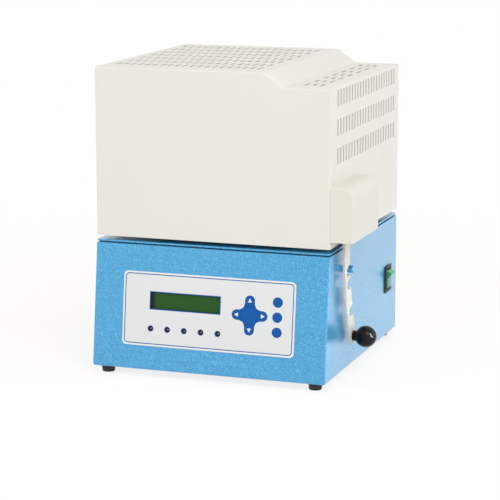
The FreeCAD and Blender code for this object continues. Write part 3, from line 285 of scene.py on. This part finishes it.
def panel_place(g):
    """The point in the control panel's own plane, in millimetres from its middle."""
    offset = g.vector("SUBTRACT", g.place, PANEL_MIDDLE)
    u = g.math("MULTIPLY", g.vector("DOT_PRODUCT", offset, PANEL_U, result=1), 1 / MM)
    v = g.math("MULTIPLY", g.vector("DOT_PRODUCT", offset, PANEL_V, result=1), 1 / MM)
    return u, v


def from_middle(g, u, v, centre):
    """How far the point lies from the centre, across and up."""
    return (g.math("ABSOLUTE", g.math("SUBTRACT", u, centre[0])),
            g.math("ABSOLUTE", g.math("SUBTRACT", v, centre[1])))


def length(g, a, b):
    return g.math("SQRT", g.math("ADD", g.math("MULTIPLY", a, a), g.math("MULTIPLY", b, b)))


def past(g, value, limit):
    """What the value has beyond the limit, or nothing."""
    return g.math("MAXIMUM", g.math("SUBTRACT", value, limit), 0.0)


def round_box(g, u, v, centre, half, radius):
    """Distance to a rectangle with round corners, negative inside."""
    a, b = from_middle(g, u, v, centre)
    outside = length(g, past(g, a, half[0] - radius), past(g, b, half[1] - radius))
    return g.math("SUBTRACT", outside, radius)


def disc(g, u, v, centre, radius):
    """Distance to a disc's rim, negative inside."""
    a, b = from_middle(g, u, v, centre)
    return g.math("SUBTRACT", length(g, a, b), radius)


def nearest(g, distances):
    """The smallest of several distances, so the outline of the shapes together."""
    result = distances[0]
    for other in distances[1:]:
        result = g.math("MINIMUM", result, other)
    return result


def inside(g, distance, edge=0.0, soft=0.12):
    """1 where the distance is below the edge, 0 above it, with a soft step between."""
    return g.ramp(distance, edge - soft, edge + soft, 1.0, 0.0)


def cross_shape(g, u, v):
    """Distance to the four-lobed arrow pad, negative inside."""
    a, b = from_middle(g, u, v, CROSS)
    lobe_u = length(g, past(g, a, CROSS_REACH[0]), b)
    lobe_v = length(g, a, past(g, b, CROSS_REACH[1]))
    lobes = g.math("SUBTRACT", g.math("MINIMUM", lobe_u, lobe_v), KEY_RADIUS)
    corner = KEY_RADIUS + CROSS_ROUND
    hollow = length(g, g.math("SUBTRACT", a, corner), g.math("SUBTRACT", b, corner))
    near_hub = g.math("MULTIPLY", g.math("LESS_THAN", a, corner), g.math("LESS_THAN", b, corner))
    web = g.math("SUBTRACT", CROSS_ROUND, hollow)
    far = g.math("MULTIPLY", lobes, g.math("SUBTRACT", 1.0, near_hub))
    return g.math("ADD", far, g.math("MULTIPLY", web, near_hub))


def printed_overlay():
    """Satin polyester sheet with its blue outline, window border, key rims and lamp rings."""
    g = Graph("printed_overlay")
    u, v = panel_place(g)
    rim_white, field_grey, gap_white, ring_blue = ((0.88, 0.86, 0.84), (0.785, 0.785, 0.785),
                                                   (0.88, 0.88, 0.87), (0.006, 0.07, 0.26))
    outline = round_box(g, u, v, (0, 0), OUTLINE_HALF, OUTLINE_RADIUS)
    shade = g.mix(inside(g, outline, -0.5), rim_white, field_grey)
    shade = g.mix(inside(g, g.math("ABSOLUTE", outline), 0.55), shade, KEY_BLUE)
    keys = nearest(g, [cross_shape(g, u, v)] + [disc(g, u, v, place, KEY_RADIUS) for place in ROUND_KEYS])
    shade = g.mix(inside(g, keys, 1.0), shade, gap_white)
    shade = g.mix(inside(g, keys, 0.05), shade, KEY_BLUE)
    border = round_box(g, u, v, WINDOW, [half + 1.0 for half in WINDOW_HALF], 0.4)
    shade = g.mix(inside(g, border), shade, KEY_BLUE)
    lamps = nearest(g, [disc(g, u, v, place, LAMP_RING) for place in LAMPS])
    shade = g.mix(inside(g, lamps), shade, ring_blue)
    g.set(color=shade, roughness=g.ramp(g.noise(60.0, 3.0), 0.3, 0.7, 0.34, 0.44), specular=0.2)
    g.bump(g.noise(1400.0, 2.0, 0.5), 0.00002, 0.5)
    dome = g.ramp(keys, -2.0, 2.4, 1.0, 0.0)
    g.bump(dome, 0.0003, 0.5)
    return g.material


def key_paint(name, way=None):
    """The blue of a key, with a white triangle that points its way on an arrow key."""
    g = Graph(name)
    shade = g.mix(g.ramp(g.noise(60.0, 2.0), 0.3, 0.7), [c * 0.93 for c in KEY_BLUE], KEY_BLUE)
    if way:
        u, v = panel_place(g)
        a = g.math("SUBTRACT", u, CROSS[0] + way[0] * TRIANGLE_REACH[0])
        b = g.math("SUBTRACT", v, CROSS[1] + way[1] * TRIANGLE_REACH[1])
        ahead = g.math("ADD", g.math("MULTIPLY", a, float(way[0])), g.math("MULTIPLY", b, float(way[1])))
        aside = g.math("ABSOLUTE", g.math("ADD", g.math("MULTIPLY", a, float(way[1])),
                                          g.math("MULTIPLY", b, float(-way[0]))))
        flank = g.math("ADD", g.math("MULTIPLY", ahead, 0.47), g.math("MULTIPLY", aside, 0.88))
        flank = g.math("SUBTRACT", flank, TRIANGLE_NOSE)
        back = g.math("SUBTRACT", g.math("MULTIPLY", ahead, -1.0), TRIANGLE_BACK)
        shade = g.mix(inside(g, g.math("MAXIMUM", flank, back)), shade, (0.86, 0.87, 0.88))
    g.set(color=shade, roughness=g.ramp(g.noise(80.0, 3.0), 0.3, 0.7, 0.32, 0.42), specular=0.2)
    g.bump(g.noise(1400.0, 2.0, 0.5), 0.00002, 0.5)
    return g.material


def display_face():
    """Green reflective display under a clear pane: a faint grid of character cells, with painted shade near
    the frame and a painted shadow band down its left edge, for the shade of the window's recess.
    """
    g = Graph("display_face")
    u, v = panel_place(g)
    green = (0.064, 0.33, 0.024)
    edge = round_box(g, u, v, WINDOW, WINDOW_HALF, 0.2)
    shade = g.mix(g.ramp(g.noise(300.0, 3.0, 0.6), 0.3, 0.7), [c * 0.86 for c in green], green)
    in_cell = inside(g, round_box(g, u, v, WINDOW, CELL_FIELD_HALF, 0.1))
    for along, centre, half, pitch, fill in zip((u, v), WINDOW, CELL_FIELD_HALF, CELL, CELL_FILL):
        phase = g.math("FRACT", g.math("DIVIDE", g.math("SUBTRACT", along, centre - half), pitch))
        in_cell = g.math("MULTIPLY", in_cell, g.math("LESS_THAN", phase, fill))
    shade = g.mix(g.math("MULTIPLY", in_cell, 0.16), shade, [c * 0.6 for c in green])
    # Painted shadow: a near-black band down the display's left edge, for the shade cast by the window's
    # recess
    shadow_end = WINDOW[0] - WINDOW_HALF[0] + WINDOW_SHADOW_WIDTH
    shade = g.mix(g.ramp(u, shadow_end - 0.3, shadow_end + 0.3, 1.0, 0.0), shade, (0.012, 0.013, 0.012))
    # Painted shade: darker within a millimetre of the frame, for the shade of the window's recess
    shade = g.mix(g.ramp(edge, -1.0, 0.1), shade, (0.02, 0.05, 0.02))
    g.set(color=shade, roughness=0.25, specular=0.12)
    g.bump(g.noise(25.0, 1.0), 0.00004, 0.2)
    return g.material


def lamp_lens(name, color, dark):
    """Dark tinted lens with a painted coloured glint set off to one side of its middle."""
    g = Graph(name)
    u, v = panel_place(g)
    inner = g.noise(700.0, 2.0, 0.5)
    # Painted glint: a small spot in the lens colour, set to the right of each lamp's middle
    glint_spots = nearest(g, [disc(g, u, v, (place[0] + 1.0, place[1] + 0.1), 0.7) for place in LAMPS])
    shade = g.mix(g.ramp(inner, 0.35, 0.65), dark, [c * 1.6 for c in dark])
    shade = g.mix(inside(g, glint_spots, 0.0, 0.6), shade, color)
    g.set(color=shade, roughness=0.16, coat=0.4, coat_roughness=0.04)
    g.bump(inner, 0.00003, 0.3)
    return g.material


def rocker_plastic():
    """Tinted translucent rocker with a moulded grain and fine grip ridges, painted darker at its bottom and
    lighter at its top as painted shade and light.
    """
    g = Graph("rocker_plastic")
    low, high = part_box("power_rocker")
    ridge_pitch = 1.6 * MM
    separate = g.tree.nodes.new("ShaderNodeSeparateXYZ")
    g.feed(separate.inputs[0], g.place)
    z = separate.outputs["Z"]
    ridges = g.math("SINE", g.math("MULTIPLY", z, 2 * math.pi / ridge_pitch))
    # Painted shade and light: the green darkens towards the rocker's bottom and lightens towards its top, as
    # if lit from above
    shade = g.mix(g.ramp(z, low.z, high.z), (0.005, 0.17, 0.065), (0.012, 0.30, 0.13))
    shade = g.mix(g.ramp(g.noise(260.0, 3.0), 0.35, 0.7, 0.0, 0.4), shade, (0.02, 0.30, 0.11))
    g.set(color=shade, roughness=0.2, coat=0.2, coat_roughness=0.05, subsurface=0.15, subsurface_scale=0.003)
    g.bump(ridges, 0.00012, 0.35)
    g.bump(g.noise(600.0, 2.0), 0.00003, 0.4)
    return g.material


def heating_wire():
    """Dull scaled resistance wire."""
    g = Graph("heating_wire")
    scale = g.noise(380.0, 5.0, 0.7)
    g.set(color=g.mix(scale, (0.07, 0.055, 0.05), (0.22, 0.19, 0.17)), metallic=0.6,
          roughness=g.ramp(scale, 0.3, 0.7, 0.55, 0.85))
    g.bump(scale, 0.0002, 0.5)
    return g.material


def wound_copper():
    """Enamelled copper wire in layers."""
    g = Graph("wound_copper")
    wires = g.noise(90.0, 2.0, 0.5, (1, 1, 26))
    g.set(color=g.mix(wires, (0.25, 0.08, 0.03), (0.55, 0.24, 0.10)), roughness=0.35, metallic=0.8)
    g.bump(wires, 0.0004, 0.6)
    return g.material


def circuit_board():
    """Green board with its tracks under lacquer."""
    g = Graph("circuit_board")
    tracks = g.cells(260.0, "DISTANCE_TO_EDGE")
    shade = g.mix(g.ramp(tracks, 0.04, 0.10, 1.0, 0.0), (0.015, 0.11, 0.04), (0.05, 0.24, 0.09))
    g.set(color=shade, roughness=0.35, coat=0.4, coat_roughness=0.2)
    g.bump(tracks, 0.0001, 0.3)
    return g.material


materials = {
    "hood_enamel": powder_coat("hood_enamel", CREAM),
    "shell_enamel": powder_coat("shell_enamel", COVER_CREAM, 1.2),
    "blue_hammertone": hammertone("blue_hammertone", (0.036, 0.355, 0.67), (0.30, 0.70, 0.95)),
    "black_plastic": moulded("black_phenolic", (0.004, 0.004, 0.005), 0.09, 90.0, 0.00001, ior=1.27),
    "dark_plastic": moulded("dark_plastic", (0.016, 0.016, 0.018), 0.42),
    "rubber_black": moulded("rubber_black", (0.014, 0.014, 0.015), 0.62, 700.0, 0.0001),
    # The gasket's dark teal is partly its own colour and partly painted shade, for the shaded seam under the
    # hood
    "gasket_dark": moulded("gasket_dark", (0.012, 0.09, 0.16), 0.8, 300.0, 0.0002),
    "overlay_grey": printed_overlay(),
    "key_blue": key_paint("key_paint"),
    "membrane_white": moulded("membrane_blue", (0.01, 0.14, 0.55), 0.5),
    "display_green": display_face(),
    # Each lamp lens takes its painted glint colour first and its dark lens colour second
    "led_red": lamp_lens("led_red", (0.55, 0.09, 0.05), (0.010, 0.008, 0.008)),
    "led_green": lamp_lens("led_green", (0.06, 0.26, 0.07), (0.007, 0.010, 0.009)),
    "rocker_green": rocker_plastic(),
    "steel": brushed("brushed_steel", (0.60, 0.60, 0.61)),
    "zinc_sheet": zinc_sheet(),
    "bright_steel": brushed("bright_steel", (0.72, 0.72, 0.73), 0.2),
    "spring_steel": brushed("spring_steel", (0.36, 0.36, 0.38), 0.3),
    "brass_pin": brushed("turned_brass", (0.70, 0.50, 0.22), 0.3, (14, 1, 1)),
    "aluminium": brushed("aluminium", (0.72, 0.73, 0.75), 0.38),
    "iron_core": brushed("iron_laminations", (0.16, 0.16, 0.17), 0.6, (1, 40, 1)),
    "copper_wound": wound_copper(),
    "ceramic_white": refractory("fired_ceramic", (0.80, 0.76, 0.68), 420.0),
    "fibre_white": refractory("pressed_fibre", (0.84, 0.82, 0.77), 180.0),
    "heating_wire": heating_wire(),
    "board_green": circuit_board(),
}

slot_of = {part["node"]: part["material_slot"] for part in frame["record"]["subparts"]}
for name, node in nodes.items():
    node.data.materials.clear()
    node.data.materials.append(materials[slot_of[name]])
for name in ("muffle_can", "hood_floor"):
    nodes[name].data.materials[0] = materials["zinc_sheet"]
nodes["latch_pin"].data.materials[0] = brushed("plated_pin", (0.17, 0.50, 0.80), 0.22, (14, 1, 1))
for name, way in (("up", (0, 1)), ("down", (0, -1)), ("left", (-1, 0)), ("right", (1, 0))):
    nodes["arrow_key_" + name].data.materials[0] = key_paint("arrow_paint_" + name, way)


# Pieces shown in place of sharp-edged solids

def softened(node_name, width):
    """Shows a copy of a CAD node whose sharp edges are rounded over by the width in millimetres."""
    source = nodes[node_name]
    mesh = source.data.copy()
    shape = bmesh.new()
    shape.from_mesh(mesh)
    bmesh.ops.remove_doubles(shape, verts=shape.verts, dist=1e-6)
    bmesh.ops.dissolve_limit(shape, angle_limit=math.radians(0.6), verts=shape.verts, edges=shape.edges)
    shape.to_mesh(mesh)
    shape.free()
    piece = bpy.data.objects.new(node_name + "_shown", mesh)
    bpy.context.scene.collection.objects.link(piece)
    bevel = piece.modifiers.new("bevel", "BEVEL")
    bevel.width = width * MM
    bevel.segments = 3
    bevel.limit_method = "ANGLE"
    bevel.angle_limit = math.radians(28.0)
    depsgraph = bpy.context.evaluated_depsgraph_get()
    finished = bpy.data.meshes.new_from_object(piece.evaluated_get(depsgraph))
    piece.modifiers.clear()
    piece.data = finished
    for face in finished.polygons:
        face.use_smooth = True
    piece.data.materials.clear()
    piece.data.materials.append(source.data.materials[0])
    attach(piece, source["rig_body"])
    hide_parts(node_name)


# The room: floor, light and camera

def add_floor():
    """A floor that looks white, keeps the shadow near the object and blends into the backdrop further out."""
    size = 6.0
    blend_start, blend_end = 0.35, 1.1
    mesh = bpy.data.meshes.new("floor")
    corners = [(-size, -size, 0), (size, -size, 0), (size, size, 0), (-size, size, 0)]
    mesh.from_pydata(corners, [], [(0, 1, 2, 3)])
    floor = bpy.data.objects.new("floor", mesh)
    bpy.context.scene.collection.objects.link(floor)
    g = Graph("floor_white")
    g.set(color=g.mix(g.noise(3.0), (0.86, 0.86, 0.86), (0.87, 0.87, 0.87)), roughness=0.7, specular=0.1)
    path = g.tree.nodes.new("ShaderNodeLightPath")
    seen = path.outputs["Is Camera Ray"]
    for kind in ("Is Glossy Ray", "Is Transmission Ray"):
        seen = g.math("MAXIMUM", seen, path.outputs[kind])
    far = g.ramp(g.vector("LENGTH", g.place, result=1), blend_start, blend_end)
    glow = g.tree.nodes.new("ShaderNodeEmission")
    glow.inputs["Strength"].default_value = 0.81
    soft = g.tree.nodes.new("ShaderNodeBsdfDiffuse")
    g.feed(soft.inputs["Color"], g.mix(g.noise(3.0), (0.23, 0.205, 0.18), (0.235, 0.21, 0.185)))
    shown = g.tree.nodes.new("ShaderNodeAddShader")
    g.link(soft.outputs[0], shown.inputs[0])
    g.link(glow.outputs[0], shown.inputs[1])
    lifted = g.tree.nodes.new("ShaderNodeMixShader")
    g.link(seen, lifted.inputs[0])
    g.link(g.shader.outputs[0], lifted.inputs[1])
    g.link(shown.outputs[0], lifted.inputs[2])
    white = g.tree.nodes.new("ShaderNodeEmission")
    white.inputs["Strength"].default_value = 1.0
    blend = g.tree.nodes.new("ShaderNodeMixShader")
    g.link(g.math("MULTIPLY", seen, far), blend.inputs[0])
    g.link(lifted.outputs[0], blend.inputs[1])
    g.link(white.outputs[0], blend.inputs[2])
    g.link(blend.outputs[0], g.output.inputs["Surface"])
    mesh.materials.append(g.material)


def add_world():
    """A plain grey light all round, that looks white where it is seen or mirrored."""
    world = bpy.data.worlds.new("studio")
    bpy.context.scene.world = world
    world.use_nodes = True
    tree = world.node_tree
    tree.nodes.clear()
    output = tree.nodes.new("ShaderNodeOutputWorld")
    light = tree.nodes.new("ShaderNodeBackground")
    light.inputs["Color"].default_value = (1, 1, 1, 1)
    light.inputs["Strength"].default_value = 0.62
    backdrop = tree.nodes.new("ShaderNodeBackground")
    backdrop.inputs["Color"].default_value = (1, 1, 1, 1)
    backdrop.inputs["Strength"].default_value = 1.0
    path = tree.nodes.new("ShaderNodeLightPath")
    seen = path.outputs["Is Camera Ray"]
    for kind in ("Is Transmission Ray", "Is Glossy Ray"):
        either = tree.nodes.new("ShaderNodeMath")
        either.operation = "MAXIMUM"
        tree.links.new(seen, either.inputs[0])
        tree.links.new(path.outputs[kind], either.inputs[1])
        seen = either.outputs[0]
    mix = tree.nodes.new("ShaderNodeMixShader")
    tree.links.new(seen, mix.inputs[0])
    tree.links.new(light.outputs[0], mix.inputs[1])
    tree.links.new(backdrop.outputs[0], mix.inputs[2])
    tree.links.new(mix.outputs[0], output.inputs["Surface"])


def add_lamp(name, place, target, size, power, color=(1, 1, 1), spread=180.0):
    """A soft lamp, in metres and watts, that faces its target and isn't seen itself."""
    data = bpy.data.lights.new(name, "AREA")
    data.shape = "RECTANGLE"
    data.size, data.size_y = size
    data.energy = power
    data.color = color
    data.spread = math.radians(spread)
    lamp = bpy.data.objects.new(name, data)
    bpy.context.scene.collection.objects.link(lamp)
    lamp.location = place
    lamp.rotation_euler = (Vector(target) - Vector(place)).to_track_quat("-Z", "Y").to_euler()
    lamp.visible_camera = False
    return lamp


def add_camera():
    """The camera that was fitted to the photo."""
    data = bpy.data.cameras.new("camera")
    data.sensor_width = 36.0
    data.sensor_fit = "HORIZONTAL"
    data.lens = 143.75
    data.clip_end = 50.0
    camera = bpy.data.objects.new("camera", data)
    bpy.context.scene.collection.objects.link(camera)
    target = Vector((-21.25, 1.52, 123.64)) * MM
    azimuth, elevation, roll = math.radians(19.43), math.radians(11.33), math.radians(-0.09)
    distance = 2.4046
    way = Vector((math.sin(azimuth) * math.cos(elevation), -math.cos(azimuth) * math.cos(elevation),
                  math.sin(elevation)))
    camera.location = target + way * distance
    turned = (-way).to_track_quat("-Z", "Y").to_matrix().to_4x4()
    camera.rotation_euler = turned.to_euler()
    camera.rotation_euler.rotate_axis("Z", roll)
    bpy.context.scene.camera = camera


# Width of the rounded edges, in millimetres
EDGES = {
    "latch_lever": 0.7, "switch_frame": 0.6, "power_rocker": 0.8, "feet": 0.8, "latch_pin": 0.3,
    "base_top_plate": 0.5, "base_hinges": 0.5, "hood_hinges": 0.5, "power_inlet": 0.6, "fuse_holder": 0.5,
    "round_key_top": 0.25, "round_key_middle": 0.25, "round_key_bottom": 0.25,
    "arrow_key_up": 0.25, "arrow_key_down": 0.25, "arrow_key_left": 0.25, "arrow_key_right": 0.25,
    "firing_tray": 0.4, "hinge_pins": 0.4, "ball_knob": 0.4,
}
for name, width in EDGES.items():
    softened(name, width)

add_floor()
add_world()
add_lamp("key", place=(1.5, -1.7, 2.2), target=(0, 0, 0.15), size=(1.6, 1.6), power=30.0)
add_lamp("side", place=(2.2, 0.6, 0.9), target=(0.1, 0, 0.15), size=(1.4, 1.8), power=9.8, color=COOL_LIGHT)
glint = add_lamp("glint", place=(1.2, -0.32, 0.42), target=(0.15, -0.08, 0.05), size=(0.36, 0.8), power=26.0)
# The softbox that shows as one bright spot on the polished ball lights that ball alone
polished = bpy.data.collections.new("polished")
for piece in bpy.context.scene.objects:
    if piece.name.startswith("ball_knob"):
        polished.objects.link(piece)
glint.light_linking.receiver_collection = polished
add_lamp("low", place=(1.5, 0.1, 0.035), target=(0.1, 0, 0.045), size=(0.7, 0.04), power=0.10,
         color=COOL_LIGHT, spread=12.0)
add_lamp("fill", place=(-1.8, -2.2, 1.5), target=(0, 0, 0.15), size=(1.8, 1.8), power=16.0)
add_camera()
bpy.context.scene.view_settings.view_transform = "Standard"
